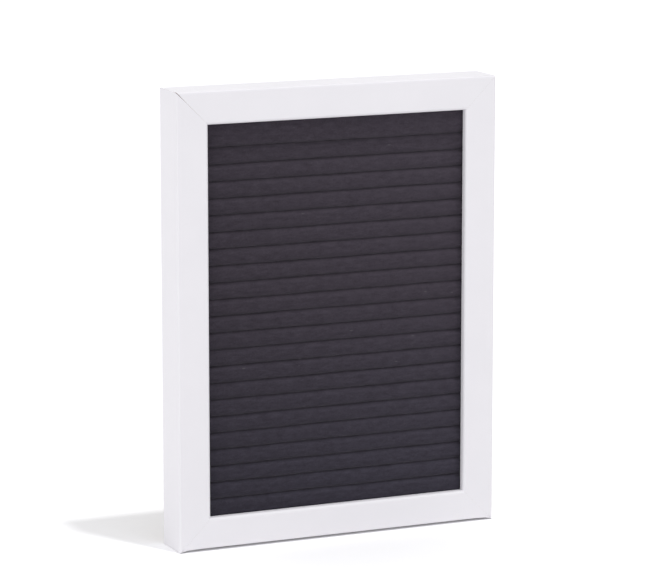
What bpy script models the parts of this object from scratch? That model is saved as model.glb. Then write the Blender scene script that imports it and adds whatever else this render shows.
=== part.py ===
"""A framed letter board, modelled from its loose parts.

Four mitred rails with a rebate hold a slotted board. One felt sheet lies over that board and is
tucked into each of its slots, so that the prongs of plastic letters can be pushed into the folds.
A backing board lies behind, and steel tabs driven into the rails hold the stack. A bent nail closes
each mitre, and round magnets in the side rails hold the board on a steel wall.

The felt faces -Y, +Z is up, and the origin is the middle of the bottom edge. Lengths are in metres.
Each rail has a frame of its own: X runs along its outer edge, Y from the front of the board to its
back, and Z from the outer edge towards the middle of the board.
"""
import math

import bmesh
import bpy
from mathutils import Vector

MM = 0.001
QUARTER_TURN = math.pi / 2

# Outside of the frame
BOARD_WIDTH = 152.4 * MM
BOARD_HEIGHT = 203.2 * MM
RAIL_DEPTH = 20.0 * MM

# Section of a rail
RAIL_FACE = 14.7 * MM
LIP_THICKNESS = 4.2 * MM
PANEL_OVERLAP = 5.0 * MM
FRONT_ARRIS = 0.8 * MM
SIGHT_ARRIS = 0.5 * MM
BACK_ARRIS = 0.4 * MM
MITRE_GAP = 0.2 * MM

# Felt sheet and its folds
FELT_THICKNESS = 0.8 * MM
LAP_RADIUS = 1.0 * MM
GROOVE_PITCH = 7.43 * MM
GROOVE_MOUTH = 0.8 * MM
GROOVE_DEPTH = 3.0 * MM
TOP_BAND = 10.7 * MM
SHORTEST_LAST_BAND = 4.0 * MM
FOLD_ROUNDNESS = 0.45

# Boards behind the felt
SLOTTED_BOARD_THICKNESS = 6.0 * MM
BACKING_THICKNESS = 2.5 * MM
BACKING_CORNER = 1.5 * MM

# Steel tabs that hold the stack
TAB_WIDTH = 5.6 * MM
TAB_TAIL = 8.0 * MM
TAB_BITE = 5.5 * MM
TAB_THICKNESS = 0.6 * MM
TAB_ROUNDNESS = 0.45
TAB_POINT_SHARE = 0.55
TAB_INSET = 62.0 * MM

# Bent nails across the mitres
NAIL_INSET = 3.2 * MM
NAIL_LEG = 5.4 * MM
NAIL_HEIGHT = 7.0 * MM
NAIL_THICKNESS = 0.5 * MM
NAIL_BEND = 1.2 * MM
NAIL_SINK = 0.3 * MM

# Magnets in the backs of the side rails
MAGNET_DIAMETER = 6.0 * MM
MAGNET_THICKNESS = 2.0 * MM
MAGNET_CHAMFER = 0.25 * MM
MAGNET_INSET = 30.0 * MM
MAGNET_SIDES = 32

# Clearances between pieces that touch on the real board
SEAT_GAP = 0.3 * MM
PANEL_CLEARANCE = 0.4 * MM
FOLD_CLEARANCE = 0.2 * MM
TAB_CLEARANCE = 0.2 * MM
NAIL_CLEARANCE = 0.2 * MM
MAGNET_CLEARANCE = 0.2 * MM
CUT_THROUGH = 1.0 * MM

ARC_STEPS = 3
SMOOTH_ANGLE = math.radians(40)

# Depths behind the front of the board
FELT_FRONT = LIP_THICKNESS + SEAT_GAP
SLOTTED_BOARD_FRONT = FELT_FRONT + FELT_THICKNESS + FOLD_CLEARANCE
SLOT_FLOOR = FELT_FRONT + GROOVE_DEPTH + FELT_THICKNESS + FOLD_CLEARANCE
BACKING_FRONT = SLOTTED_BOARD_FRONT + SLOTTED_BOARD_THICKNESS + SEAT_GAP
TAB_FRONT = BACKING_FRONT + BACKING_THICKNESS + SEAT_GAP

# Distances from the outer edge
REBATE_WALL = RAIL_FACE - PANEL_OVERLAP
PANEL_EDGE = REBATE_WALL + PANEL_CLEARANCE


def clear_scene():
    """Removes whatever the scene holds, such as the cube of a new file."""
    for item in list(bpy.data.objects):
        bpy.data.objects.remove(item, do_unlink=True)


def make_material(name, colour, roughness, metallic=0.0):
    material = bpy.data.materials.new(name)
    material.use_nodes = True
    shader = material.node_tree.nodes["Principled BSDF"]
    shader.inputs["Base Color"].default_value = (*colour, 1.0)
    shader.inputs["Roughness"].default_value = roughness
    shader.inputs["Metallic"].default_value = metallic
    material.diffuse_color = (*colour, 1.0)
    return material


def make_object(name, bm, material=None):
    mesh = bpy.data.meshes.new(name)
    bm.to_mesh(mesh)
    bm.free()
    item = bpy.data.objects.new(name, mesh)
    bpy.context.collection.objects.link(item)
    if material:
        mesh.materials.append(material)
    return item


def shade_round(item):
    item.data.shade_smooth()
    item.data.set_sharp_from_angle(angle=SMOOTH_ANGLE)


def arc_points(corner, before, after, radius):
    """The points of the arc that rounds a corner between its two neighbours."""
    to_before = (before - corner).normalized()
    to_after = (after - corner).normalized()
    half_angle = to_before.angle(to_after) / 2
    centre = corner + (to_before + to_after).normalized() * radius / math.sin(half_angle)
    start = corner + to_before * radius / math.tan(half_angle) - centre
    end = corner + to_after * radius / math.tan(half_angle) - centre
    first = math.atan2(start.y, start.x)
    turn = math.remainder(math.atan2(end.y, end.x) - first, 2 * math.pi)
    angles = [first + turn * step / ARC_STEPS for step in range(ARC_STEPS + 1)]
    return [centre + radius * Vector((math.cos(angle), math.sin(angle))) for angle in angles]


def rounded(corners, closed=True):
    """Turns corners given as (across, up, radius) into a path with arcs at its rounded corners."""
    points = [Vector(corner[:2]) for corner in corners]
    radii = [corner[2] for corner in corners]
    path = []
    for index, (point, radius) in enumerate(zip(points, radii)):
        at_end = not closed and index in (0, len(points) - 1)
        if radius <= 0 or at_end:
            path.append(point)
        else:
            path += arc_points(point, points[index - 1], points[(index + 1) % len(points)], radius)
    return path


def extrude_outline(outline, across, up, along):
    """A solid whose outline lies along two directions and is pushed out along a third."""
    bm = bmesh.new()
    face = bm.faces.new([bm.verts.new(across * point.x + up * point.y) for point in outline])
    grown = bmesh.ops.extrude_face_region(bm, geom=[face])["geom"]
    far_verts = [item for item in grown if isinstance(item, bmesh.types.BMVert)]
    bmesh.ops.translate(bm, verts=far_verts, vec=along)
    bmesh.ops.recalc_face_normals(bm, faces=bm.faces)
    return bm


def cut(item, cutter):
    """Takes the cutter's shape out of an object, with the cutter kept as a guide."""
    cutter.hide_render = True
    cutter.display_type = "WIRE"
    modifier = item.modifiers.new(cutter.name, "BOOLEAN")
    modifier.operation = "DIFFERENCE"
    modifier.object = cutter


def attach(item, rail, along, depth, inward):
    """Places an object in a rail's own frame."""
    item.parent = rail
    item.location = (along, depth, inward)


def rail_section():
    """The rail's section, as distance from the outer edge and depth behind the front."""
    return rounded([
        (0, 0, FRONT_ARRIS),
        (RAIL_FACE, 0, SIGHT_ARRIS),
        (RAIL_FACE, LIP_THICKNESS, 0),
        (REBATE_WALL, LIP_THICKNESS, 0),
        (REBATE_WALL, RAIL_DEPTH, BACK_ARRIS),
        (0, RAIL_DEPTH, BACK_ARRIS),
    ])


def make_rail(name, length, position, turn, material):
    """A rail with both ends cut at 45 degrees, set on one side of the board."""
    bm = extrude_outline(rail_section(), Vector((0, 0, 1)), Vector((0, 1, 0)), Vector((length, 0, 0)))
    cut_back = MITRE_GAP / 2 / math.sin(QUARTER_TURN / 2)
    for vert in bm.verts:
        end = length / 2 - vert.co.z - cut_back
        vert.co.x = end if vert.co.x > length / 2 else -end
    rail = make_object(name, bm, material)
    rail.location = position
    rail.rotation_euler = (0, turn, 0)
    return rail


def make_rails(material):
    """The four rails, in the order in which the end of each meets the start of the next."""
    front = -RAIL_DEPTH / 2
    half_width = BOARD_WIDTH / 2
    middle = BOARD_HEIGHT / 2
    return {
        "bottom": make_rail("rail_bottom", BOARD_WIDTH, (0, front, 0), 0, material),
        "right": make_rail("rail_right", BOARD_HEIGHT, (half_width, front, middle), -QUARTER_TURN, material),
        "top": make_rail("rail_top", BOARD_WIDTH, (0, front, BOARD_HEIGHT), 2 * QUARTER_TURN, material),
        "left": make_rail("rail_left", BOARD_HEIGHT, (-half_width, front, middle), QUARTER_TURN, material),
    }


def groove_heights():
    """The middle of each groove, from the top one down."""
    top_of_opening = BOARD_HEIGHT - RAIL_FACE
    room = top_of_opening - RAIL_FACE - TOP_BAND - SHORTEST_LAST_BAND
    count = int(room / GROOVE_PITCH) + 1
    return [top_of_opening - TOP_BAND - GROOVE_PITCH * index for index in range(count)]


def along_width(inset):
    """The start and the length of a panel that keeps a distance to the sides of the board."""
    width = BOARD_WIDTH - 2 * inset
    return Vector((-width / 2, -RAIL_DEPTH / 2, 0)), Vector((width, 0, 0))


def make_felt(material):
    """One felt sheet, tucked down into every slot and folded back up, seen from its edge."""
    half_mouth = GROOVE_MOUTH / 2
    fold_radius = GROOVE_MOUTH * FOLD_ROUNDNESS
    fold_floor = FELT_FRONT + GROOVE_DEPTH
    corners = [(FELT_FRONT, BOARD_HEIGHT - PANEL_EDGE, 0)]
    for height in groove_heights():
        corners += [
            (FELT_FRONT, height + half_mouth, LAP_RADIUS),
            (fold_floor, height + half_mouth, fold_radius),
            (fold_floor, height - half_mouth, fold_radius),
            (FELT_FRONT, height - half_mouth, LAP_RADIUS),
        ]
    corners.append((FELT_FRONT, PANEL_EDGE, 0))
    start, along = along_width(PANEL_EDGE)

    path = [start + Vector((0, point.x, point.y)) for point in rounded(corners, closed=False)]
    bm = bmesh.new()
    near = [bm.verts.new(point) for point in path]
    far = [bm.verts.new(point + along) for point in path]
    for index in range(len(path) - 1):
        bm.faces.new((near[index], near[index + 1], far[index + 1], far[index]))

    felt = make_object("felt_face", bm, material)
    thickness = felt.modifiers.new("thickness", "SOLIDIFY")
    thickness.thickness = FELT_THICKNESS
    thickness.offset = -1
    thickness.use_even_offset = True
    shade_round(felt)


def make_slotted_board(material):
    """The board behind the felt, with one slot for each fold, milled across its whole width."""
    half_slot = GROOVE_MOUTH / 2 + FELT_THICKNESS + FOLD_CLEARANCE
    back = SLOTTED_BOARD_FRONT + SLOTTED_BOARD_THICKNESS
    corners = [(back, PANEL_EDGE, 0), (back, BOARD_HEIGHT - PANEL_EDGE, 0)]
    corners.append((SLOTTED_BOARD_FRONT, BOARD_HEIGHT - PANEL_EDGE, 0))
    for height in groove_heights():
        corners += [
            (SLOTTED_BOARD_FRONT, height + half_slot, 0),
            (SLOT_FLOOR, height + half_slot, 0),
            (SLOT_FLOOR, height - half_slot, 0),
            (SLOTTED_BOARD_FRONT, height - half_slot, 0),
        ]
    corners.append((SLOTTED_BOARD_FRONT, PANEL_EDGE, 0))
    start, along = along_width(PANEL_EDGE)
    bm = extrude_outline(rounded(corners), Vector((0, 1, 0)), Vector((0, 0, 1)), along)
    board = make_object("slotted_board", bm, material)
    board.location = start


def make_backing(material):
    """The plain board that closes the back, with its corners taken off."""
    half_width = BOARD_WIDTH / 2 - PANEL_EDGE
    low, high = PANEL_EDGE, BOARD_HEIGHT - PANEL_EDGE
    outline = rounded([
        (-half_width, low, BACKING_CORNER),
        (half_width, low, BACKING_CORNER),
        (half_width, high, BACKING_CORNER),
        (-half_width, high, BACKING_CORNER),
    ])
    thickness = Vector((0, BACKING_THICKNESS, 0))
    bm = extrude_outline(outline, Vector((1, 0, 0)), Vector((0, 0, 1)), thickness)
    backing = make_object("backing_board", bm, material)
    backing.location = (0, BACKING_FRONT - RAIL_DEPTH / 2, 0)


def tab_solid(grow):
    """A flat tab with a round tail and a point that bites into the rail, or its slot if grown."""
    half_width = TAB_WIDTH / 2 + grow
    bite = TAB_BITE + grow
    shoulder = -bite * (1 - TAB_POINT_SHARE)
    tail_radius = 2 * half_width * TAB_ROUNDNESS
    outline = rounded([
        (0, -bite, 0),
        (half_width, shoulder, 0),
        (half_width, TAB_TAIL, tail_radius),
        (-half_width, TAB_TAIL, tail_radius),
        (-half_width, shoulder, 0),
    ])
    thickness = Vector((0, TAB_THICKNESS + 2 * grow, 0))
    return extrude_outline(outline, Vector((1, 0, 0)), Vector((0, 0, 1)), thickness)


def add_tab(name, rail, along, material):
    """Drives a tab into the rail's rebate wall, with its tail on the backing board."""
    tab = make_object("tab_" + name, tab_solid(0), material)
    attach(tab, rail, along, TAB_FRONT, REBATE_WALL)
    cutter = make_object("tab_slot_" + name, tab_solid(TAB_CLEARANCE))
    attach(cutter, rail, along, TAB_FRONT - TAB_CLEARANCE, REBATE_WALL)
    cut(rail, cutter)


def nail_solid(grow, height):
    """A strip of steel bent square, one leg for each rail, or its slot if grown."""
    outer = -grow
    inner = NAIL_THICKNESS + grow
    tip = NAIL_LEG + grow
    outline = rounded([
        (outer, outer, NAIL_BEND + grow),
        (tip, outer, 0),
        (tip, inner, 0),
        (inner, inner, NAIL_BEND - NAIL_THICKNESS - grow),
        (inner, tip, 0),
        (outer, tip, 0),
    ])
    return extrude_outline(outline, Vector((1, 0, 0)), Vector((0, 0, 1)), Vector((0, height, 0)))


def add_corner_nail(name, rail, length, before, material):
    """Puts a nail across the mitre at the rail's start, in slots in this rail and the one before."""
    along = NAIL_INSET - length / 2
    depth = RAIL_DEPTH - NAIL_SINK - NAIL_HEIGHT
    nail = make_object("corner_nail_" + name, nail_solid(0, NAIL_HEIGHT), material)
    attach(nail, rail, along, depth, NAIL_INSET)
    slot_height = NAIL_CLEARANCE + NAIL_HEIGHT + NAIL_SINK + CUT_THROUGH
    cutter = make_object("corner_nail_slot_" + name, nail_solid(NAIL_CLEARANCE, slot_height))
    attach(cutter, rail, along, depth - NAIL_CLEARANCE, NAIL_INSET)
    cut(rail, cutter)
    cut(before, cutter)


def disc(diameter, thickness, chamfer):
    """A round disc that stands on its face, with its axis along Y."""
    bm = bmesh.new()
    bmesh.ops.create_cone(
        bm, cap_ends=True, segments=MAGNET_SIDES, radius1=diameter / 2, radius2=diameter / 2, depth=thickness)
    if chamfer > 0:
        rims = [edge for edge in bm.edges if abs(edge.verts[0].co.z - edge.verts[1].co.z) < chamfer]
        bmesh.ops.bevel(bm, geom=rims, offset=chamfer, segments=1, affect="EDGES")
    for vert in bm.verts:
        vert.co = Vector((vert.co.x, thickness / 2 - vert.co.z, vert.co.y))
    bmesh.ops.recalc_face_normals(bm, faces=bm.faces)
    return bm


def add_magnet(name, rail, along, material):
    """Sets a magnet flush with the rail's back, in the middle of its rebate wall."""
    inward = REBATE_WALL / 2
    magnet = make_object("magnet_" + name, disc(MAGNET_DIAMETER, MAGNET_THICKNESS, MAGNET_CHAMFER), material)
    attach(magnet, rail, along, RAIL_DEPTH - MAGNET_THICKNESS, inward)
    shade_round(magnet)
    pocket_depth = MAGNET_THICKNESS + MAGNET_CLEARANCE
    pocket = disc(MAGNET_DIAMETER + 2 * MAGNET_CLEARANCE, pocket_depth + CUT_THROUGH, 0)
    cutter = make_object("magnet_pocket_" + name, pocket)
    attach(cutter, rail, along, RAIL_DEPTH - pocket_depth, inward)
    cut(rail, cutter)


def add_hardware(rails, steel, magnet_metal):
    """The tabs, the corner nails and the magnets, each with its slot or pocket in a rail."""
    add_corner_nail("bottom_left", rails["bottom"], BOARD_WIDTH, rails["left"], steel)
    add_corner_nail("bottom_right", rails["right"], BOARD_HEIGHT, rails["bottom"], steel)
    add_corner_nail("top_right", rails["top"], BOARD_WIDTH, rails["right"], steel)
    add_corner_nail("top_left", rails["left"], BOARD_HEIGHT, rails["top"], steel)

    add_tab("bottom", rails["bottom"], 0, steel)
    add_tab("top", rails["top"], 0, steel)
    # The right rail runs upwards and the left one downwards
    for side, upwards in (("right", 1), ("left", -1)):
        for level, above in (("lower", -1), ("upper", 1)):
            tab_along = upwards * above * (BOARD_HEIGHT / 2 - TAB_INSET)
            magnet_along = upwards * above * (BOARD_HEIGHT / 2 - MAGNET_INSET)
            add_tab(f"{side}_{level}", rails[side], tab_along, steel)
            add_magnet(f"{side}_{level}", rails[side], magnet_along, magnet_metal)


def gather(name):
    """Hangs every loose object on one empty at the board's origin."""
    whole = bpy.data.objects.new(name, None)
    bpy.context.collection.objects.link(whole)
    for item in bpy.context.collection.objects:
        if item is not whole and item.parent is None:
            item.parent = whole


def main():
    clear_scene()
    white_foil = make_material("white_foil", (0.80, 0.79, 0.83), 0.42)
    charcoal_felt = make_material("charcoal_felt", (0.045, 0.040, 0.048), 0.95)
    fibreboard = make_material("fibreboard", (0.42, 0.28, 0.17), 0.85)
    grey_card = make_material("grey_card", (0.36, 0.34, 0.31), 0.9)
    steel = make_material("steel", (0.62, 0.62, 0.63), 0.35, metallic=1.0)
    nickel = make_material("nickel", (0.74, 0.72, 0.68), 0.22, metallic=1.0)

    rails = make_rails(white_foil)
    make_felt(charcoal_felt)
    make_slotted_board(fibreboard)
    make_backing(grey_card)
    add_hardware(rails, steel, nickel)
    gather("letter_board")


main()
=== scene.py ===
"""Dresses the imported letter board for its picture.

The frame gives every size and place. Four foil-wrapped rails, one pleated felt sheet, the backing
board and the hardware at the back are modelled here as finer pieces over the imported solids, and each
gets a finish of its own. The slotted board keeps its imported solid. A pale floor, white surroundings
and two soft lamps make the studio.

All lengths are in metres. The felt faces -Y and +Z is up. A rail is modelled in a frame of its own:
X runs along its outer edge, Y from the front of the board to its back, and Z from the outer edge
towards the middle of the board.
"""
import logging
import math
from dataclasses import dataclass, field
from enum import Enum
from functools import cached_property
from typing import Callable, Iterable, Optional, Union

import bmesh
import bpy
from mathutils import Matrix, Vector, noise


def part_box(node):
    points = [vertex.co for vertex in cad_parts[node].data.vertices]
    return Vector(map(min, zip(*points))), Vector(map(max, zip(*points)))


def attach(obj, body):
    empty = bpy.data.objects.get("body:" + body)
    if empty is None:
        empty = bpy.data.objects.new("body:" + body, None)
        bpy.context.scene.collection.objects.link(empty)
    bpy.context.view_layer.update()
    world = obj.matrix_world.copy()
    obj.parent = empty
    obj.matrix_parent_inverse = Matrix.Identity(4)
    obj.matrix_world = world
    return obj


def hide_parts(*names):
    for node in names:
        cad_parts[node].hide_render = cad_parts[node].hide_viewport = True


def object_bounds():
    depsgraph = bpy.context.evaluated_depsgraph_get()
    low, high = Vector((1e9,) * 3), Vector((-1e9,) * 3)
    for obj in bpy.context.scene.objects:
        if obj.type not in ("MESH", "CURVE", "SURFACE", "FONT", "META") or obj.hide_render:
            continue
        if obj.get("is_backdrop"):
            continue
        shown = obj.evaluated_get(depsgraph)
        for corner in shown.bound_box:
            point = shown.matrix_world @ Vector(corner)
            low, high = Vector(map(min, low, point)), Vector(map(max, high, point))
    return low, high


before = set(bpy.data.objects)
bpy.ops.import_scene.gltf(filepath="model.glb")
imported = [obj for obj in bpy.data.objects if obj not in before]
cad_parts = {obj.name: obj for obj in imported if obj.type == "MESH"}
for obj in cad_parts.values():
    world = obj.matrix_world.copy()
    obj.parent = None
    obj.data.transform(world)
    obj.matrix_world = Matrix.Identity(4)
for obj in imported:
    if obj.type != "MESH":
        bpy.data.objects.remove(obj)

MM = 0.001
QUARTER_TURN = math.pi / 2
ROOT_BODY = "root"
# The mesh attribute that carries a painted highlight: lighter felt along the top edge of each band, where the
# lap faces up to the light.
LAP_HIGHLIGHT = "lap_highlight"

# How near two places have to be to count as one, and to be welded into one.
NEAR = 0.01 * MM
WELD = NEAR / 10
# The least part of a normal along an axis, for a face that looks that way or halfway there, and the
# most of it for a face that looks elsewhere.
FACING = 0.9
HALF_FACING = 0.6
NOT_FACING = 0.1
# The angle between two faces up to which their edge is shaded smooth, and from which it is rounded.
SMOOTH_ANGLE = math.radians(35)
SHARP_ANGLE = math.radians(50)

Triple = tuple[float, float, float]
Colour = Triple
Range = tuple[float, float]
Material = bpy.types.Material
Piece = bpy.types.Object
Socket = bpy.types.NodeSocket
Sockets = bpy.types.bpy_prop_collection
Test = Callable[[object], bool]

log = logging.getLogger("letter_board")


class Slot(Enum):
    """The record's material slots."""

    FOIL = "white_foil"
    FELT = "charcoal_felt"
    GREY_CARD = "grey_card"
    STEEL = "steel"
    NICKEL = "nickel"


class Side(Enum):
    """The rails, each with the turn about Y that brings a flat rail into its place."""

    BOTTOM = 0.0
    RIGHT = -QUARTER_TURN
    TOP = 2 * QUARTER_TURN
    LEFT = QUARTER_TURN

    @property
    def label(self) -> str:
        """The side's name in the names of nodes."""
        return self.name.lower()


class Element(Enum):
    """What edit mode selects."""

    FACE = "FACE"
    EDGE = "EDGE"


# Modelling

def focus(piece: Piece) -> None:
    """Makes one object the only selected and the active one.

    Args:
        piece: The object to work on.
    """
    bpy.ops.object.select_all(action="DESELECT")
    piece.select_set(True)
    bpy.context.view_layer.objects.active = piece


def apply_place(piece: Piece) -> None:
    """Moves an object's place, turn and scale into its mesh, so that it sits at the origin."""
    focus(piece)
    bpy.ops.object.transform_apply(location=True, rotation=True, scale=True)


def apply_modifier(piece: Piece, kind: str, **settings: object) -> None:
    """Gives a piece a modifier and applies it.

    Args:
        piece: The piece.
        kind: The modifier's type.
        settings: The modifier's own settings.
    """
    focus(piece)
    modifier = piece.modifiers.new(kind, kind)
    for name, value in settings.items():
        setattr(modifier, name, value)
    bpy.ops.object.modifier_apply(modifier=modifier.name)


def add(name: str, shape: Callable[..., object], scale: Iterable[float] = (1, 1, 1),
        **settings: object) -> Piece:
    """Adds one of Blender's own shapes, to be shaped further.

    Args:
        name: The new object's name.
        shape: The operator that adds it.
        scale: How far it is stretched along its own axes.
        settings: The operator's settings.

    Returns:
        The new object, with its place in its mesh.
    """
    bpy.ops.object.select_all(action="DESELECT")
    shape(**settings)
    piece = bpy.context.active_object
    piece.name = name
    piece.scale = scale
    apply_place(piece)
    return piece


def block(name: str, low: Vector, high: Vector) -> Piece:
    """Adds a box between its lowest and its highest corner."""
    return add(name, bpy.ops.mesh.primitive_cube_add, high - low, size=1, location=(low + high) / 2)


def drum(name: str, centre: Vector, radius: float, depth: float, sides: int) -> Piece:
    """Adds a round slug whose axis is Y, with a number of sides."""
    return add(
        name, bpy.ops.mesh.primitive_cylinder_add, vertices=sides, radius=radius, depth=depth,
        location=centre, rotation=(QUARTER_TURN, 0, 0))


class Bench:
    """Edit mode on one piece, where what is picked is what the next operator shapes."""

    def __init__(self, piece: Piece) -> None:
        """Takes the piece to shape."""
        self.piece = piece

    def __enter__(self) -> "Bench":
        """Enters edit mode with nothing selected."""
        focus(self.piece)
        bpy.ops.object.mode_set(mode="EDIT")
        bpy.ops.mesh.select_all(action="DESELECT")
        return self

    def __exit__(self, *_: object) -> None:
        """Goes back to object mode."""
        bpy.ops.object.mode_set(mode="OBJECT")

    def pick(self, element: Element, test: Test) -> int:
        """Selects the faces or edges that pass a test, and nothing else.

        Args:
            element: Whether faces or edges are picked.
            test: Says whether one of them is wanted.

        Returns:
            How many were picked.
        """
        bpy.ops.mesh.select_mode(type=element.value)
        bpy.ops.mesh.select_all(action="DESELECT")
        mesh = bmesh.from_edit_mesh(self.piece.data)
        items = mesh.faces if element is Element.FACE else mesh.edges
        wanted = [item for item in items if test(item)]
        for item in wanted:
            item.select_set(True)
        bmesh.update_edit_mesh(self.piece.data)
        return len(wanted)

    def slice(self, place: Vector, normal: Vector, drop_front: bool = False) -> None:
        """Cuts the whole piece along a plane.

        Args:
            place: A point of the plane.
            normal: The plane's normal.
            drop_front: Takes away what lies in front of the plane, and closes the cut.
        """
        bpy.ops.mesh.select_mode(type="FACE")
        bpy.ops.mesh.select_all(action="SELECT")
        bpy.ops.mesh.bisect(
            plane_co=place, plane_no=normal, use_fill=drop_front, clear_outer=drop_front, threshold=WELD)

    def push(self, offset: Vector) -> None:
        """Extrudes the picked faces by an offset."""
        bpy.ops.mesh.extrude_region_move(TRANSFORM_OT_translate={"value": offset})

    def push_edges(self, offset: Vector) -> None:
        """Extrudes the picked edges by an offset."""
        bpy.ops.mesh.extrude_edges_move(TRANSFORM_OT_translate={"value": offset})

    def round_edges(self, test: Test, radius: float, steps: int) -> None:
        """Rounds the edges that pass a test, with a number of faces across each."""
        if self.pick(Element.EDGE, test):
            bpy.ops.mesh.bevel(offset=radius, segments=steps, affect="EDGES")

    def tidy(self) -> None:
        """Merges doubles and turns all faces outwards."""
        bpy.ops.mesh.select_all(action="SELECT")
        bpy.ops.mesh.remove_doubles(threshold=WELD)
        bpy.ops.mesh.normals_make_consistent(inside=False)


def carve(piece: Piece, cutters: Iterable[Piece]) -> None:
    """Takes the shapes of some cutters out of a piece, and removes the cutters.

    Args:
        piece: The piece that is cut.
        cutters: Closed solids at the places of the cuts.
    """
    for cutter in cutters:
        apply_modifier(piece, "BOOLEAN", operation="DIFFERENCE", object=cutter)
        bpy.data.objects.remove(cutter, do_unlink=True)


def shade(piece: Piece) -> None:
    """Shades a hard piece so that its flats stay flat and its rounds look round.

    Args:
        piece: The piece to shade.
    """
    focus(piece)
    bpy.ops.object.shade_smooth_by_angle(angle=SMOOTH_ANGLE)
    apply_modifier(piece, "WEIGHTED_NORMAL", keep_sharp=True)


def finish_edges(piece: Piece, width: float, steps: int) -> None:
    """Rounds every sharp edge of a hard piece by a small width, and shades the piece."""
    apply_modifier(
        piece, "BEVEL", width=width, segments=steps, limit_method="ANGLE", angle_limit=SHARP_ANGLE)
    shade(piece)


def dress(piece: Piece, finishes: list[Material], nodes: Iterable[str]) -> None:
    """Gives a new piece its materials, its body and the nodes that it stands for.

    Args:
        piece: The finished piece.
        finishes: Its materials, in the order of its faces' material numbers.
        nodes: The nodes that it replaces.
    """
    for material in finishes:
        piece.data.materials.append(material)
    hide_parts(*nodes)
    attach(piece, ROOT_BODY)
    log.info("%s: %d faces", piece.name, len(piece.data.polygons))


# Finishes

class Graph:
    """The nodes of a material or of the world, laid out by short calls."""

    def __init__(self, owner: Union[Material, bpy.types.World]) -> None:
        """Empties the owner's node tree.

        Args:
            owner: What the nodes belong to.
        """
        owner.use_nodes = True
        self.owner = owner
        self.tree = owner.node_tree
        self.tree.nodes.clear()

    @cached_property
    def coordinates(self) -> Socket:
        """The piece's own coordinates."""
        return self.tree.nodes.new("ShaderNodeTexCoord").outputs["Object"]

    def node(self, kind: str, inputs: dict[Union[str, int], object], **settings: object) -> Sockets:
        """Adds a node.

        Args:
            kind: Its type.
            inputs: Its inputs, as sockets to link or as values.
            settings: Its own settings.

        Returns:
            Its outputs.
        """
        made = self.tree.nodes.new(kind)
        for name, value in settings.items():
            setattr(made, name, value)
        for key, value in inputs.items():
            if isinstance(value, Socket):
                self.tree.links.new(value, made.inputs[key])
            else:
                made.inputs[key].default_value = value
        return made.outputs

    def reckon(self, operation: str, *values: Union[Socket, float]) -> Socket:
        """Works one number out of two or three."""
        return self.node("ShaderNodeMath", dict(enumerate(values)), operation=operation)[0]

    def seen(self, first: str, *others: str) -> Socket:
        """Tells some kinds of ray from all others.

        Args:
            first: The light path's name for one kind.
            others: Its names for the other kinds.

        Returns:
            1 for a ray of these kinds, and 0 for any other.
        """
        path = self.node("ShaderNodeLightPath", {})
        share = path[first]
        for kind in others:
            share = self.reckon("MAXIMUM", share, path[kind])
        return share

    def stretched(self, scale: Triple) -> Socket:
        """The piece's own coordinates, scaled apart along each axis."""
        return self.node("ShaderNodeMapping", {"Vector": self.coordinates, "Scale": scale})[0]

    def spread(self, value: Socket, span: Range = (0, 1), onto: Range = (0, 1)) -> Socket:
        """Spreads a value from one range over another, and stops it at both ends."""
        return self.node("ShaderNodeMapRange", {
            "Value": value, "From Min": span[0], "From Max": span[1],
            "To Min": onto[0], "To Max": onto[1]})[0]

    def blend(self, share: Socket, first: Union[Socket, Colour], second: Union[Socket, Colour],
              way: str = "MIX") -> Socket:
        """Mixes a share of a second colour into a first one, in a way that Blender names."""
        first, second = (
            colour if isinstance(colour, Socket) else (*colour, 1.0) for colour in (first, second))
        return self.node(
            "ShaderNodeMix", {0: share, 6: first, 7: second}, data_type="RGBA", blend_type=way)[2]

    def relief(self, height: Socket, distance: float, strength: float,
               under: Optional[Socket] = None) -> Socket:
        """A normal that shows a height, whose 1 is a distance in metres, over the normal under it."""
        ground = {"Normal": under} if under else {}
        return self.node(
            "ShaderNodeBump", {"Height": height, "Distance": distance, "Strength": strength, **ground})[0]

    def surface(self, **inputs: object) -> Material:
        """Ends the material in one principled surface.

        Args:
            inputs: Its inputs by name, with _ for a space.

        Returns:
            The finished material.
        """
        named = {key.replace("_", " "): value for key, value in inputs.items()}
        shader = self.node("ShaderNodeBsdfPrincipled", named)
        self.node("ShaderNodeOutputMaterial", {"Surface": shader[0]})
        return self.owner


@dataclass(frozen=True)
class Grain:
    """Noise with spots of one size. Along scales each axis, less than 1 to draw the spots out."""

    size: float
    detail: float = 3.0
    roughness: float = 0.6
    along: Triple = (1, 1, 1)
    distortion: float = 0.0

    def lay(self, graph: Graph) -> Socket:
        """Adds the noise to a graph, from 0 to 1."""
        return graph.node("ShaderNodeTexNoise", {
            "Vector": graph.stretched(self.along), "Scale": 1 / self.size, "Detail": self.detail,
            "Roughness": self.roughness, "Distortion": self.distortion})[0]


@dataclass(frozen=True)
class Flecks:
    """Scattered spots of a colour, each full at its middle and faded out over a span from there."""

    colour: Colour
    size: float
    along: Triple
    span: Range
    share: float

    def over(self, graph: Graph, ground: Socket) -> Socket:
        """Lays the spots over a colour."""
        away = graph.node("ShaderNodeTexVoronoi", {
            "Vector": graph.stretched(self.along), "Scale": 1 / self.size, "Randomness": 1.0})[0]
        return graph.blend(graph.spread(away, self.span, (self.share, 0)), ground, self.colour)


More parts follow.
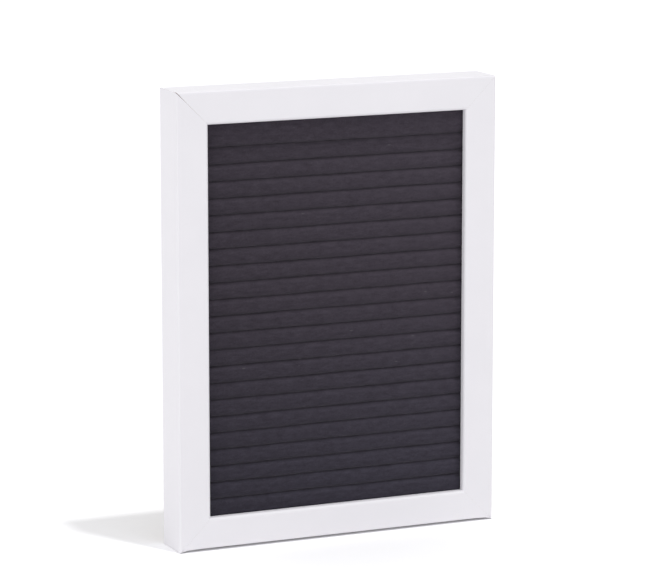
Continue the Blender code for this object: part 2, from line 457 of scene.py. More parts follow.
@dataclass(frozen=True)
class CoatFinish:
    """A smooth coat: clouds of a second shade, marks that dull it, and a faint relief.

    The relief follows the marks, unless it has a grain of its own.
    """

    name: str
    shades: tuple[Colour, Colour]
    clouds: Grain
    cloud_span: Range
    marks: Grain
    mark_span: Range
    roughness: Range
    height: float
    strength: float = 1.0
    relief: Optional[Grain] = None
    metallic: float = 0.0

    def build(self) -> Material:
        """Makes the material."""
        graph = Graph(bpy.data.materials.new(self.name))
        clouds = graph.spread(self.clouds.lay(graph), self.cloud_span)
        marks = self.marks.lay(graph)
        relief = self.relief.lay(graph) if self.relief else marks
        return graph.surface(
            Base_Color=graph.blend(clouds, *self.shades),
            Metallic=self.metallic,
            Roughness=graph.spread(marks, self.mark_span, self.roughness),
            Normal=graph.relief(relief, self.height, self.strength))


# Foil: satin, with a faint orange peel and hardly a mark. The metals: bright, with duller spots and
# fine lines or rubbing marks.
FOIL = CoatFinish(
    "white foil", shades=((0.874, 0.857, 0.9), (0.858, 0.842, 0.885)),
    clouds=Grain(28 * MM, 2), cloud_span=(0.35, 0.65),
    marks=Grain(6 * MM, 5, 0.7, (0.5, 1, 1)), mark_span=(0.3, 0.7), roughness=(0.36, 0.5),
    relief=Grain(0.9 * MM, 2, 0.4), height=0.012 * MM)
STEEL = CoatFinish(
    "zinc-plated steel", shades=((0.56, 0.57, 0.59), (0.38, 0.385, 0.40)), metallic=1.0,
    clouds=Grain(1.4 * MM, 4), cloud_span=(0.4, 0.65),
    marks=Grain(0.12 * MM, along=(1, 1, 0.05)), mark_span=(0.3, 0.7), roughness=(0.26, 0.46),
    height=0.004 * MM, strength=0.5)
NICKEL = CoatFinish(
    "nickel plate", shades=((0.52, 0.505, 0.475), (0.37, 0.355, 0.33)), metallic=1.0,
    clouds=Grain(1.8 * MM), cloud_span=(0.42, 0.7),
    marks=Grain(0.25 * MM, 5, 0.8, (0.15, 1, 1)), mark_span=(0.35, 0.75), roughness=(0.14, 0.36),
    height=0.003 * MM, strength=0.4)


@dataclass(frozen=True)
class FeltFinish:
    """Charcoal felt: matted fibres, lighter towards the top right, pale lint; painted highlight on band tops,
    painted groove shade, painted cool bounce tint at the foot.
    """

    dark: Colour = (0.026, 0.021, 0.029)
    pale: Colour = (0.0575, 0.0475, 0.063)
    wool_span: Range = (0.3, 0.72)
    fibres: Grain = Grain(0.55 * MM, 6, 0.75, distortion=1.6)
    mats: Grain = Grain(1.8 * MM, along=(0.35, 1, 1))
    mat_gain: Range = (-0.25, 0.25)
    # A tone that grows lighter towards the top right of the felt.
    top_right_lean: Triple = (0.9, 0, 0.6)
    top_right_span: Range = (-0.04, 0.16)
    top_right_gain: Range = (-0.115, 0.09)
    # How much the painted highlight on each band's top edge lightens the felt.
    highlight_gain: float = 0.075
    # Painted cool bounce light: the felt is tinted bluer towards its foot.
    bounce_tint: Colour = (0.9, 0.985, 1.045)
    bounce_span: Range = (22 * MM, 110 * MM)
    # Painted shade in the grooves: the felt turns darker past a depth into each fold.
    groove_shade: Colour = (0.006, 0.005, 0.007)
    groove_shade_share: float = 0.08
    groove_shade_span: Range = (-5.4 * MM, -4.9 * MM)
    lint: Flecks = Flecks((0.088, 0.083, 0.094), 9 * MM, (0.55, 1, 1.6), (0.02, 0.06), 0.8)
    tufts: Grain = Grain(0.33 * MM, 5, 0.8, distortion=0.8)
    tuft_height: float = 0.16 * MM
    tuft_strength: float = 0.7
    specular: float = 0.12
    sheen: float = 0.12
    sheen_spread: float = 0.6
    sheen_tint: Colour = (0.75, 0.72, 0.8)

    def build(self) -> Material:
        """Makes the material."""
        graph = Graph(bpy.data.materials.new("charcoal felt"))
        mats = graph.spread(self.mats.lay(graph), onto=self.mat_gain)
        # Lighter towards the top right of the felt.
        lean = graph.node(
            "ShaderNodeVectorMath", {0: graph.coordinates, 1: self.top_right_lean}, operation="DOT_PRODUCT")
        top_right_tone = graph.spread(lean["Value"], self.top_right_span, self.top_right_gain)
        share = graph.reckon("ADD", self.fibres.lay(graph), graph.reckon("ADD", mats, top_right_tone))
        # Painted highlight: the felt is lighter along the top edge of each band, where the lap faces up to
        # the light.
        lap_highlight_share = graph.node("ShaderNodeAttribute", {}, attribute_name=LAP_HIGHLIGHT)["Fac"]
        share = graph.reckon("MULTIPLY_ADD", lap_highlight_share, self.highlight_gain, share)
        wool = graph.blend(graph.spread(share, self.wool_span), self.dark, self.pale)
        place = graph.node("ShaderNodeSeparateXYZ", {0: graph.coordinates})
        # Painted cool bounce light: a bluer tint towards the foot of the felt.
        bounce_share = graph.spread(place["Z"], self.bounce_span, (1, 0))
        wool = graph.blend(bounce_share, wool, self.bounce_tint, "MULTIPLY")
        # Painted shade: darker felt deep in each groove, where the folds lie in shade.
        deep = graph.spread(place["Y"], self.groove_shade_span, (0, self.groove_shade_share))
        wool = graph.blend(deep, wool, self.groove_shade)
        return graph.surface(
            Base_Color=self.lint.over(graph, wool),
            Roughness=1.0,
            Specular_IOR_Level=self.specular,
            Sheen_Weight=self.sheen,
            Sheen_Roughness=self.sheen_spread,
            Sheen_Tint=(*self.sheen_tint, 1.0),
            Normal=graph.relief(self.tufts.lay(graph), self.tuft_height, self.tuft_strength))


@dataclass(frozen=True)
class FibreboardFinish:
    """Raw fibreboard as it comes off the cutter: tan, with short darker fibres and fine tool lines."""

    tan: Colour = (0.47, 0.315, 0.19)
    brown: Colour = (0.27, 0.165, 0.09)
    brown_span: Range = (0.36, 0.66)
    clouds: Grain = Grain(9 * MM)
    cloud_gain: Range = (-0.1, 0.1)
    fibres: Grain = Grain(0.9 * MM, 6, 0.75, distortion=0.6)
    fibre_height: float = 0.06 * MM
    fibre_strength: float = 0.6
    lines: Grain = Grain(0.7 * MM, 2, along=(1, 1, 0.04))
    line_height: float = 0.03 * MM
    line_strength: float = 0.5
    roughness: Range = (0.78, 0.95)
    specular: float = 0.25

    def build(self) -> Material:
        """Makes the material."""
        graph = Graph(bpy.data.materials.new("raw fibreboard"))
        fibres = self.fibres.lay(graph)
        clouds = graph.spread(self.clouds.lay(graph), onto=self.cloud_gain)
        share = graph.spread(graph.reckon("ADD", fibres, clouds), self.brown_span)
        rough = graph.relief(fibres, self.fibre_height, self.fibre_strength)
        return graph.surface(
            Base_Color=graph.blend(share, self.tan, self.brown),
            Roughness=graph.spread(fibres, onto=self.roughness),
            Specular_IOR_Level=self.specular,
            Normal=graph.relief(self.lines.lay(graph), self.line_height, self.line_strength, rough))


@dataclass(frozen=True)
class GreyCardFinish:
    """Pressed grey board from waste paper, with dark and pale scraps in it."""

    grey: Colour = (0.335, 0.315, 0.285)
    pale: Colour = (0.44, 0.42, 0.385)
    pulp: Grain = Grain(1.1 * MM, 6, 0.72, distortion=1.2)
    pulp_span: Range = (0.3, 0.7)
    pulp_height: float = 0.09 * MM
    pulp_strength: float = 0.7
    scraps: tuple[Flecks, ...] = (
        Flecks((0.15, 0.145, 0.15), 2.6 * MM, (0.45, 1, 1), (0.03, 0.1), 0.85),
        Flecks((0.62, 0.6, 0.56), 3.38 * MM, (1, 1, 0.5), (0.03, 0.09), 0.75))
    roughness: Range = (0.82, 0.97)
    specular: float = 0.2

    def build(self) -> Material:
        """Makes the material."""
        graph = Graph(bpy.data.materials.new("grey card"))
        pulp = self.pulp.lay(graph)
        card = graph.blend(graph.spread(pulp, self.pulp_span), self.grey, self.pale)
        for scraps in self.scraps:
            card = scraps.over(graph, card)
        return graph.surface(
            Base_Color=card,
            Roughness=graph.spread(pulp, onto=self.roughness),
            Specular_IOR_Level=self.specular,
            Normal=graph.relief(pulp, self.pulp_height, self.pulp_strength))


@dataclass(frozen=True)
class FloorFinish:
    """A matt white sweep that keeps shadows and is lifted to white for the eye and in gloss."""

    white: Colour = (0.93, 0.93, 0.93)
    seen_white: Colour = (1.1, 1.1, 1.12)
    lift: float = 0.048

    def build(self) -> Material:
        """Makes the material."""
        graph = Graph(bpy.data.materials.new("white sweep"))
        seen = graph.seen("Is Camera Ray", "Is Glossy Ray")
        matt = graph.node("ShaderNodeBsdfDiffuse", {"Color": graph.blend(seen, self.white, self.seen_white)})
        glow = graph.node("ShaderNodeEmission", {
            "Color": (1, 1, 1, 1), "Strength": graph.spread(seen, onto=(0, self.lift))})
        both = graph.node("ShaderNodeAddShader", {0: matt[0], 1: glow[0]})
        graph.node("ShaderNodeOutputMaterial", {"Surface": both[0]})
        return graph.owner


@dataclass
class Finishes:
    """Every material of the board, each made once."""

    foil: Material = field(default_factory=FOIL.build)
    felt: Material = field(default_factory=lambda: FeltFinish().build())
    fibreboard: Material = field(default_factory=lambda: FibreboardFinish().build())
    grey_card: Material = field(default_factory=lambda: GreyCardFinish().build())
    steel: Material = field(default_factory=STEEL.build)
    nickel: Material = field(default_factory=NICKEL.build)


# The rails and what is let into them

@dataclass
class RailFrame:
    """Where one rail lies, and the way between its own frame and the board's."""

    side: Side
    length: float
    matrix: Matrix

    @classmethod
    def of(cls, side: Side) -> "RailFrame":
        """Finds a rail's frame from the box round all four rails.

        Args:
            side: The side of the board that the rail is on.

        Returns:
            The rail's frame.
        """
        low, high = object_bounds()
        width, height = high.x - low.x, high.z - low.z
        middle = Vector(((low.x + high.x) / 2, low.y, (low.z + high.z) / 2))
        outwards = Matrix.Rotation(side.value, 3, "Y") @ Vector((0, 0, -1))
        across_width = side in (Side.BOTTOM, Side.TOP)
        reach = height / 2 if across_width else width / 2
        matrix = Matrix.Translation(middle + outwards * reach) @ Matrix.Rotation(side.value, 4, "Y")
        return cls(side, width if across_width else height, matrix)

    def box(self, node: str) -> tuple[Vector, Vector]:
        """The lowest and highest corner of a node, in this rail's frame.

        Args:
            node: The node's name.

        Returns:
            Both corners.
        """
        back = self.matrix.inverted()
        ends = [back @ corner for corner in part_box(node)]
        return Vector(map(min, *ends)), Vector(map(max, *ends))

    def place(self, piece: Piece) -> None:
        """Turns a piece that was modelled in this frame into its place on the board."""
        piece.matrix_world = self.matrix
        apply_place(piece)


@dataclass
class Tab:
    """A flat steel tab whose point bites into the rebate wall."""

    low: Vector
    high: Vector
    wall: float
    point_share: float = 0.55
    tail_share: float = 0.42
    tail_steps: int = 8
    edge: float = 0.09 * MM
    edge_steps: int = 3
    bend: float = 0.22 * MM
    bend_start: float = 0.35
    bend_steps: int = 4

    def solid(self, name: str, grow: float = 0.0) -> Piece:
        """Models the tab, or its slot if it is grown.

        Args:
            name: The object's name.
            grow: How far it is grown on every side.

        Returns:
            The object, in the rail's frame.
        """
        spread = Vector((grow, grow, grow))
        low, high = self.low - spread, self.high + spread
        half = (high.x - low.x) / 2
        point = Vector(((low.x + high.x) / 2, 0, low.z))
        shoulder = (self.wall - self.low.z) * self.point_share
        tail = high.z - NEAR
        piece = block(name, low, high)
        with Bench(piece) as bench:
            for way in (-1, 1):
                bench.slice(point, Vector((way * shoulder, 0, -half)), drop_front=True)
            bench.round_edges(
                lambda edge: all(vert.co.z > tail for vert in edge.verts)
                and abs(edge.verts[0].co.x - edge.verts[1].co.x) < NEAR,
                half * 2 * self.tail_share, self.tail_steps)
            bench.tidy()
        return piece

    def lift_tail(self, piece: Piece) -> None:
        """Bends the tail a little away from the backing board, as a driver leaves it.

        Args:
            piece: The tab.
        """
        start = self.wall + (self.high.z - self.wall) * self.bend_start
        with Bench(piece) as bench:
            for step in range(self.bend_steps):
                height = start + (self.high.z - start) * step / self.bend_steps
                bench.slice(Vector((0, 0, height)), Vector((0, 0, 1)))
        for vert in piece.data.vertices:
            run = max(0.0, vert.co.z - start) / (self.high.z - start)
            vert.co.y += self.bend * run * run


@dataclass
class CornerNail:
    """A strip of steel bent square and pressed in across a mitre."""

    low: Vector
    high: Vector
    thickness: float = 0.5 * MM
    bend: float = 1.2 * MM
    bend_steps: int = 8
    edge: float = 0.07 * MM
    edge_steps: int = 2

    def solid(self, name: str, grow: float = 0.0, rise: float = 0.0) -> Piece:
        """Models the nail, or its slot if it is grown.

        Args:
            name: The object's name.
            grow: How far it is grown on every side.
            rise: How much further a slot goes past the nail's back end.

        Returns:
            The object, in the frame of the rail whose start the nail is at.
        """
        low = self.low - Vector((grow, grow, grow))
        high = self.high + Vector((grow, grow + rise, grow))
        thickness = self.thickness + 2 * grow
        radius = self.bend + grow
        knee = Vector((low.x + radius, low.y, low.z + radius))
        piece = block(name, Vector((knee.x, low.y, low.z)), Vector((high.x, high.y, low.z + thickness)))
        with Bench(piece) as bench:
            bench.pick(Element.FACE, lambda face: face.normal.x < -FACING)
            bpy.ops.mesh.spin(steps=self.bend_steps, angle=-QUARTER_TURN, center=knee, axis=(0, 1, 0))
            end = knee.z - NEAR
            turned = bench.pick(
                Element.FACE,
                lambda face: face.calc_center_median().x < knee.x and all(v.co.z > end for v in face.verts))
            if turned != 1:
                raise ValueError(f"the bend of {name} ends in {turned} faces")
            bench.push(Vector((0, 0, high.z - knee.z)))
            bench.tidy()
        return piece


@dataclass
class Moulding:
    """One length of the frame's moulding, with its mitres, slots and pockets.

    An open joint's cuts each have a gap, the share of the face that it runs along, and a depth.
    """

    rail: RailFrame
    face: float
    depth: float
    lip: float
    wall: float
    front_arris: float = 0.8 * MM
    front_steps: int = 6
    sight_arris: float = 1.4 * MM
    lip_arris: float = 1.2 * MM
    lip_steps: int = 5
    back_arris: float = 0.4 * MM
    back_steps: int = 4
    joint_gap: float = 0.012 * MM
    joint_edge: float = 0.02 * MM
    back_gap: float = 0.12 * MM
    back_gap_depth: float = 4 * MM
    foil_wrap: float = 2.0 * MM
    open_cuts: tuple[Triple, ...] = ((0.09 * MM, 1.0, 3 * MM), (0.27 * MM, 0.36, 3 * MM))
    bow: float = 1.1 * MM
    bow_height: float = 2.6 * MM
    bow_power: int = 32
    bow_steps: int = 20

    @classmethod
    def from_frame(cls, side: Side) -> "Moulding":
        """Reads the moulding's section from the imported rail.

        Args:
            side: The side of the board that the rail is on.

        Returns:
            The moulding of that side.
        """
        rail = RailFrame.of(side)
        low, high = rail.box(f"rail_{side.label}")
        back = rail.matrix.inverted()
        points = [back @ vert.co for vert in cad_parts[f"rail_{side.label}"].data.vertices]
        lip = max(point.y for point in points if point.z > high.z - NEAR)
        wall = max(point.z for point in points if point.y > lip + NEAR)
        return cls(rail, high.z - low.z, high.y - low.y, lip, wall)

    def _section(self) -> Piece:
        """Models the plain length: a block with a lip pushed out of its inner side."""
        half = self.rail.length / 2
        name = f"moulding_{self.rail.side.label}"
        piece = block(name, Vector((-half, 0, 0)), Vector((half, self.depth, self.wall)))
        with Bench(piece) as bench:
            bench.slice(Vector((0, self.lip, 0)), Vector((0, 1, 0)))
            bench.pick(
                Element.FACE,
                lambda face: face.normal.z > FACING and face.calc_center_median().y < self.lip)
            bench.push(Vector((0, 0, self.face - self.wall)))
        return piece

    def _mitre(self, bench: Bench, way: int, opened: bool) -> None:
        """Cuts one end at 45 degrees.

        Args:
            bench: The piece in edit mode.
            way: -1 for the start, 1 for the end.
            opened: Whether the joint stands open at its outer end.
        """
        setback = self.joint_gap / 2 / math.sin(QUARTER_TURN / 2)
        corner = Vector((way * (self.rail.length / 2 - setback), 0, 0))
        across = Vector((way, 0, 1)).normalized()
        along = Vector((-way, 0, 1)).normalized()
        bench.slice(corner, across, drop_front=True)
        back = corner - across * self.back_gap / 2 + Vector((0, self.depth, 0))
        bench.slice(back, across + Vector((0, self.back_gap / 2 / self.back_gap_depth, 0)), drop_front=True)
        if opened:
            for gap, share, depth in self.open_cuts:
                reach = self.face * share / along.z
                tilt = (along / reach + Vector((0, 1 / depth, 0))) * gap / 2
                bench.slice(corner - across * gap / 2, across - tilt, drop_front=True)

    def _is_joint(self, normal: Vector) -> bool:
        """Whether a face with this normal belongs to a mitre."""
        return abs(normal.x) > HALF_FACING and normal.z > HALF_FACING and abs(normal.y) < NOT_FACING

    def _round_arrises(self, bench: Bench) -> None:
        """Rounds the long edges of the moulding, and takes the sharpness off the mitres."""

        def long_edge(y: float, z: float) -> Test:
            """A test for the edges that run along X at a place."""
            return lambda edge: all(
                abs(vert.co.y - y) < NEAR and abs(vert.co.z - z) < NEAR for vert in edge.verts)

        for y, z, radius, steps in (
                (0, 0, self.front_arris, self.front_steps),
                (0, self.face, self.sight_arris, self.lip_steps),
                (self.lip, self.face, self.lip_arris, self.lip_steps),
                (self.depth, 0, self.back_arris, self.back_steps),
                (self.depth, self.wall, self.back_arris, self.back_steps)):
            bench.round_edges(long_edge(y, z), radius, steps)
        bench.round_edges(
            lambda edge: len(edge.link_faces) == 2
            and sum(self._is_joint(face.normal) for face in edge.link_faces) == 1,
            self.joint_edge, 1)

    def _slice_for_bow(self, bench: Bench) -> None:
        """Cuts the rail up along its length, closer towards its ends, so that it can be bent."""
        bench.slice(Vector((0, 0, self.bow_height)), Vector((0, 0, 1)))
        for step in range(1, self.bow_steps):
            place = self.rail.length / 2 * math.cos(math.pi * step / self.bow_steps)
            bench.slice(Vector((place, 0, 0)), Vector((1, 0, 0)))

    def _bow(self, piece: Piece) -> None:
        """Hollows the rail's outer side between its ends, so that it stands on them.

        Args:
            piece: The rail.
        """
        half = self.rail.length / 2
        for vert in piece.data.vertices:
            share = max(0.0, 1 - vert.co.z / self.bow_height)
            vert.co.z += self.bow * share * max(0.0, 1 - (vert.co.x / half) ** self.bow_power)

    def _mark_raw_faces(self, piece: Piece) -> None:
        """Gives the faces that the foil leaves bare the second material."""
        for polygon in piece.data.polygons:
            centre = polygon.center
            on_back = centre.y > self.depth - self.joint_edge and centre.z > self.foil_wrap
            in_rebate = centre.y > self.lip - self.joint_edge and centre.z > self.wall - self.back_arris
            raw = on_back or in_rebate or self._is_inside(centre) or self._is_joint(polygon.normal)
            polygon.material_index = int(raw)

    def _is_inside(self, place: Vector) -> bool:
        """Whether a point lies under the moulding's skin, as the walls of its slots do."""
        skin = self.back_arris
        return skin + self.bow < place.z < self.wall - skin and self.front_arris < place.y < self.depth - NEAR

    def build(self, cutters: Iterable[Piece], finishes: Finishes, open_ends: tuple[bool, bool]) -> None:
        """Models, cuts and dresses the rail.

        Args:
            cutters: Solids of its slots and pockets, in the rail's frame.
            finishes: The board's materials.
            open_ends: Whether the joint at its start and at its end stands open.
        """
        piece = self._section()
        stands = self.rail.side is Side.BOTTOM
        with Bench(piece) as bench:
            for way, opened in zip((-1, 1), open_ends):
                self._mitre(bench, way, opened)
            self._round_arrises(bench)
            bench.slice(Vector((0, 0, self.foil_wrap)), Vector((0, 0, 1)))
            if stands:
                self._slice_for_bow(bench)
            bench.tidy()
        if stands:
            self._bow(piece)
        carve(piece, cutters)
        self._mark_raw_faces(piece)
        shade(piece)
        self.rail.place(piece)
        dress(piece, [finishes.foil, finishes.fibreboard], [f"rail_{self.rail.side.label}"])


@dataclass
class Surround:
    """The four rails, with the tabs, corner nails and magnets that are let into them."""

    finishes: Finishes
    tab_clearance: float = 0.04 * MM
    nail_clearance: float = 0.05 * MM
    magnet_clearance: float = 0.12 * MM
    magnet_sides: int = 72
    magnet_edge: float = 0.28 * MM
    magnet_edge_steps: int = 4
    mouldings: dict[Side, Moulding] = field(default_factory=dict)
    cutters: dict[Side, list[Piece]] = field(default_factory=dict)

    def __post_init__(self) -> None:
        """Reads the rails from the frame."""
        for side in Side:
            self.mouldings[side] = Moulding.from_frame(side)
            self.cutters[side] = []

    def _nodes(self, kind: str, side: Side) -> list[str]:
        """The nodes of one kind on one side, such as the tabs of the left rail."""
        return sorted(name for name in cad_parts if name.startswith(f"{kind}_{side.label}"))

    def _add_tabs(self, side: Side) -> None:
        """Makes a side's tabs and the cutters of their slots."""
        moulding = self.mouldings[side]
        for node in self._nodes("tab", side):
            tab = Tab(*moulding.rail.box(node), wall=moulding.wall)
            self.cutters[side].append(tab.solid("slot_of_" + node, grow=self.tab_clearance))
            piece = tab.solid("steel_" + node)
            tab.lift_tail(piece)
            finish_edges(piece, tab.edge, tab.edge_steps)
            moulding.rail.place(piece)
            dress(piece, [self.finishes.steel], [node])

    def _add_magnets(self, side: Side) -> None:
        """Makes a side's magnets and the cutters of their pockets, which are open at the back."""
        rail = self.mouldings[side].rail
        for node in self._nodes("magnet", side):
            low, high = rail.box(node)
            centre = (low + high) / 2
            radius = (high.x - low.x) / 2
            depth = high.y - low.y
            extra = self.magnet_clearance + radius
            self.cutters[side].append(drum(
                "pocket_of_" + node, centre + Vector((0, radius - extra / 2, 0)),
                radius + self.magnet_clearance, depth + extra, self.magnet_sides))
            piece = drum("nickel_" + node, centre, radius, depth, self.magnet_sides)
            finish_edges(piece, self.magnet_edge, self.magnet_edge_steps)
            rail.place(piece)
            dress(piece, [self.finishes.nickel], [node])

    def _add_corner_nail(self, side: Side, before: Side) -> None:
        """Makes the nail at a rail's start and the cutters of its slot in both rails.

        Args:
            side: The rail whose start it is at.
            before: The rail that ends there.
        """
        node, = (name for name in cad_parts
                 if name.startswith("corner_nail") and side.label in name and before.label in name)
        rail = self.mouldings[side].rail
        nail = CornerNail(*rail.box(node))
        own = nail.solid("slot_of_" + node, grow=self.nail_clearance, rise=self.mouldings[side].depth)
        other = own.copy()
        other.data = own.data.copy()
        bpy.context.collection.objects.link(other)
        other.matrix_world = self.mouldings[before].rail.matrix.inverted() @ rail.matrix
        apply_place(other)
        self.cutters[side].append(own)
        self.cutters[before].append(other)
        piece = nail.solid("steel_" + node)
        finish_edges(piece, nail.edge, nail.edge_steps)
        rail.place(piece)
        dress(piece, [self.finishes.steel], [node])

    def build(self) -> None:
        """Makes the hardware first, and then each rail with its cuts."""
        for side in Side:
            self._add_tabs(side)
            self._add_magnets(side)
        sides = list(Side)
        for side, before in zip(sides, sides[-1:] + sides[:-1]):
            self._add_corner_nail(side, before)
        for side in Side:
            open_ends = (side is Side.LEFT, side is Side.TOP)
            self.mouldings[side].build(self.cutters[side], self.finishes, open_ends)


# The felt and the boards behind it

@dataclass(frozen=True)
class Wave:
    """Smooth noise along X, which differs from row to row."""

    size: float
    stride: float
    seed: float

    def at(self, x: float, row: float) -> float:
        """Its value at a place, from about -1 to 1."""
        return noise.noise(Vector((x / self.size, row * self.stride, self.seed)))


@dataclass
class PleatedFelt:
    """One felt sheet that dips into every slot and comes back up in a soft round lap."""

    finishes: Finishes
    low: Vector
    high: Vector
    grooves: list[float]
    groove_gap: float = 3 * MM
    thickness: float = 0.5 * MM
    mouth: float = 0.03 * MM
    least_mouth: float = 0.6
    lap_depth: float = 1.35 * MM
    lap_power: float = 3.0
    lap_steps: int = 10
    fold_radius: float = 0.2 * MM
    fold_steps: int = 2
    crown: float = 0.08 * MM
    columns: int = 84
    edge_steps: int = 8
    drift: float = 0.22 * MM
    drift_wave: Wave = Wave(20 * MM, 5.7, 0.3)
    pinch: float = 0.08 * MM
    pinch_wave: Wave = Wave(6 * MM, 3.1, 9.1)
    swell: float = 0.12 * MM
    swell_wave: Wave = Wave(9 * MM, 1 / (3 * MM), 4.4)
    # Where the painted highlight lies below each groove, how wide it is, and how it wavers.
    highlight_place: float = 0.4
    highlight_width: float = 0.34
    highlight_wave: Wave = Wave(4 * MM, 2.3, 6.2)
    shallow_power: float = 0.5

    @classmethod
    def from_frame(cls, finishes: Finishes) -> "PleatedFelt":
        """Reads the sheet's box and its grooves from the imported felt.

        Args:
            finishes: The board's materials.

        Returns:
            The sheet.
        """
        low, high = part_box("felt_face")
        deep = [vert.co.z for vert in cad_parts["felt_face"].data.vertices if vert.co.y > high.y - NEAR]
        heights: list[list[float]] = []
        for height in sorted(deep, reverse=True):
            if not heights or heights[-1][-1] - height > cls.groove_gap:
                heights.append([])
            heights[-1].append(height)
        return cls(finishes, low, high, [(group[0] + group[-1]) / 2 for group in heights])

    @property
    def pitch(self) -> float:
        """The distance from groove to groove."""
        return (self.grooves[0] - self.grooves[-1]) / (len(self.grooves) - 1)

    @property
    def fold_depth(self) -> float:
        """How far the sheet's front side dips into a slot."""
        return self.high.y - self.low.y - self.thickness

    def _way_in(self) -> list[tuple[float, float]]:
        """The path from the middle of a band's face to the bottom of the next groove.

        Returns:
            Points of depth and of height above the groove's middle, the first at half a pitch.
        """
        path = []
        for step in range(self.lap_steps + 1):
            share = step / self.lap_steps
            depth = (self.crown + self.lap_depth) * share ** self.lap_power - self.crown
            path.append((depth, self.pitch / 2 * (1 - share) + self.mouth / 2 * share))
        for step in range(1, self.fold_steps + 1):
            turn = QUARTER_TURN * (1 - step / self.fold_steps)
            path.append((
                self.fold_depth - self.fold_radius + self.fold_radius * math.cos(turn),
                self.fold_radius * math.sin(turn)))
        return path

    def _follow(self, bench: Bench, path: list[tuple[float, float]], way: int) -> None:
        """Extrudes the picked edges along points of depth and height, upside down if the way is -1."""
        for (depth, height), (next_depth, next_height) in zip(path, path[1:]):
            bench.push_edges(Vector((0, next_depth - depth, way * (next_height - height))))

    def _pick_row(self, bench: Bench, height: float) -> None:
        """Picks the open edges that lie along X at a height."""
        picked = bench.pick(Element.EDGE, lambda edge: edge.is_boundary and all(
            abs(vert.co.z - height) < NEAR for vert in edge.verts))
        if picked != self.columns:
            raise ValueError(f"the felt has {picked} edges at {height / MM:.2f} mm, not {self.columns}")

    def _one_band(self) -> Piece:
        """Models the top whole band, from the bottom of one groove to that of the next."""
        path = self._way_in()
        middle = self.grooves[0] - self.pitch / 2
        first = path[1][1] - path[0][1]
        piece = add(
            "felt_sheet", bpy.ops.mesh.primitive_grid_add, (self.high.x - self.low.x, -2 * first, 1),
            x_subdivisions=self.columns, y_subdivisions=1, size=1,
            location=(0, self.low.y + path[1][0], middle), rotation=(QUARTER_TURN, 0, 0))
        with Bench(piece) as bench:
            for way in (1, -1):
                self._pick_row(bench, middle + way * first)
                self._follow(bench, path[1:], way)
        return piece

    def _end_band(self, bench: Bench, way: int) -> None:
        """Brings the sheet back out of its first or last groove and on to its edge.

        Args:
            bench: The sheet in edit mode.
            way: 1 for the top, -1 for the bottom.
        """
        groove, edge = (self.grooves[0], self.high.z) if way > 0 else (self.grooves[-1], self.low.z)
        self._pick_row(bench, groove)
        out = list(reversed(self._way_in()))
        self._follow(bench, out, way)
        run = Vector((0, self.crown, way * (abs(edge - groove) - out[-1][1])))
        for _ in range(self.edge_steps):
            bench.push_edges(run / self.edge_steps)

    def _soften(self, piece: Piece) -> None:
        """Makes the laps wander, pinch and swell a little, and marks a painted highlight along the top edge
        of each band.

        Args:
            piece: The sheet.
        """
        lap_highlight = piece.data.attributes.new(LAP_HIGHLIGHT, "FLOAT", "POINT")
        half = self.pitch / 2
        for vert in piece.data.vertices:
            x, depth = vert.co.x, max(0.0, vert.co.y - self.low.y)
            groove = min(range(len(self.grooves)), key=lambda index: abs(self.grooves[index] - vert.co.z))
            offset = vert.co.z - self.grooves[groove]
            side = 0 if abs(offset) < NEAR else math.copysign(1, offset)
            # Painted highlight mask: strongest a little below each groove, on the band's up-facing top edge.
            below = -offset / half - self.highlight_place
            patch = 1 + self.highlight_wave.at(x, groove)
            lap_highlight.data[vert.index].value = max(0.0, 1 - abs(below) / self.highlight_width) * patch
            near = max(0.0, 1 - abs(offset) / half)
            shallow = max(0.0, 1 - depth / self.fold_depth) ** self.shallow_power
            drift = self.drift_wave.at(x, groove) * self.drift
            opening = max(self.pinch_wave.at(x, groove) * self.pinch, (self.least_mouth - 1) * self.mouth)
            swell = self.swell_wave.at(x, vert.co.z) * self.swell
            vert.co.z += (drift + side * opening) * near * shallow
            vert.co.y += swell * shallow

    def build(self) -> None:
        """Models the sheet band by band, softens it and gives it its thickness."""
        piece = self._one_band()
        apply_modifier(
            piece, "ARRAY", count=len(self.grooves) - 1, use_relative_offset=False,
            use_constant_offset=True, constant_offset_displace=(0, 0, -self.pitch),
            use_merge_vertices=True, merge_threshold=NEAR)
        with Bench(piece) as bench:
            self._end_band(bench, 1)
            self._end_band(bench, -1)
            bench.tidy()
            faces = bmesh.from_edit_mesh(piece.data).faces
            if sum(face.normal.y * face.calc_area() for face in faces) > 0:
                bpy.ops.mesh.flip_normals()
        self._soften(piece)
        apply_modifier(piece, "SOLIDIFY", thickness=self.thickness, offset=-1)
        bpy.ops.object.shade_smooth()
        dress(piece, [self.finishes.felt], ["felt_face"])


@dataclass
class BoardStack:
    """The slotted board and the backing board behind the felt."""

    finishes: Finishes
    corner: float = 1.5 * MM
    corner_steps: int = 6
    edge: float = 0.22 * MM
    edge_steps: int = 2

    def build(self) -> None:
        """Dresses the slotted board as it is, and models the backing board."""
        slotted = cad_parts["slotted_board"]
        slotted.data.materials.clear()
        slotted.data.materials.append(self.finishes.fibreboard)

        piece = block("grey_backing", *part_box("backing_board"))
        with Bench(piece) as bench:
            bench.round_edges(
                lambda edge: abs(edge.verts[0].co.y - edge.verts[1].co.y) > NEAR,
                self.corner, self.corner_steps)
        finish_edges(piece, self.edge, self.edge_steps)
        dress(piece, [self.finishes.grey_card], ["backing_board"])


# The studio

@dataclass
class Lamp:
    """A far lamp that lights everything alike, as a large studio lamp does across a small object."""

    name: str
    towards: Vector
    level: float
    angle: float

    def build(self) -> None:
        """Adds the lamp. Its level is the brightness of a white surface that faces it."""
        data = bpy.data.lights.new(self.name, "SUN")
        data.energy = self.level * math.pi
        data.angle = self.angle
        lamp = bpy.data.objects.new(self.name, data)
        bpy.context.scene.collection.objects.link(lamp)
        lamp.location = self.towards.normalized()
        lamp.rotation_mode = "QUATERNION"
        lamp.rotation_quaternion = (-self.towards).to_track_quat("-Z", "Y")


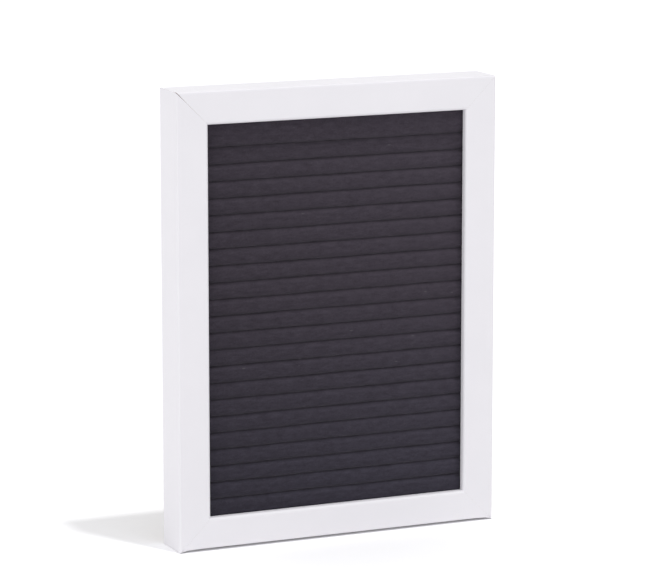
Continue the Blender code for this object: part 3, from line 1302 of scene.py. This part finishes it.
@dataclass
class Studio:
    """The floor, the lamps, the white surroundings and the camera."""

    floor_size: float = 14.0
    surround_light: float = 0.665
    lamps: tuple[Lamp, ...] = (
        Lamp("key", Vector((0.143, -0.272, 1.0)), 0.275, math.radians(3.0)),
        Lamp("fill", Vector((-0.8, -0.5, 0.35)), 0.205, math.radians(60)),
    )
    camera_place: Triple = (-0.5895, -1.3362, 0.3822)
    camera_yaw: float = math.radians(23.82)
    camera_pitch: float = math.radians(10.55)
    nearest_seen: float = 0.05
    focal_pixels: float = 3349.6
    picture_width: float = 662.0
    sensor_width: float = 36.0

    def _floor(self) -> None:
        """Lays the floor under the board."""
        floor = add("floor", bpy.ops.mesh.primitive_plane_add, size=self.floor_size)
        floor.data.materials.append(FloorFinish().build())
        floor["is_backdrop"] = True

    def _world(self) -> None:
        """Makes surroundings that light the board softly and are white to the eye and in gloss."""
        world = bpy.data.worlds.new("white surroundings")
        bpy.context.scene.world = world
        graph = Graph(world)
        seen = graph.seen("Is Camera Ray", "Is Glossy Ray", "Is Transmission Ray")
        background = graph.node("ShaderNodeBackground", {
            "Color": (1, 1, 1, 1), "Strength": graph.spread(seen, onto=(self.surround_light, 1))})
        graph.node("ShaderNodeOutputWorld", {"Surface": background[0]})

    def _camera(self) -> None:
        """Puts the camera where the photograph was taken from."""
        data = bpy.data.cameras.new("camera")
        data.sensor_width = self.sensor_width
        data.lens = self.focal_pixels / self.picture_width * self.sensor_width
        data.clip_start = self.nearest_seen
        camera = bpy.data.objects.new("camera", data)
        bpy.context.scene.collection.objects.link(camera)
        camera.location = self.camera_place
        camera.rotation_euler = (QUARTER_TURN - self.camera_pitch, 0, -self.camera_yaw)
        bpy.context.scene.camera = camera

    def build(self) -> None:
        """Sets up the whole studio."""
        for lamp in self.lamps:
            lamp.build()
        self._floor()
        self._world()
        self._camera()
        bpy.context.scene.view_settings.view_transform = "Standard"


def main() -> None:
    """Builds the board's pieces in order, then the studio."""
    logging.basicConfig(level=logging.INFO, format="%(message)s")
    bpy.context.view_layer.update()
    finishes = Finishes()
    Surround(finishes).build()
    PleatedFelt.from_frame(finishes).build()
    BoardStack(finishes).build()
    Studio().build()


if __name__ == "__main__":
    main()
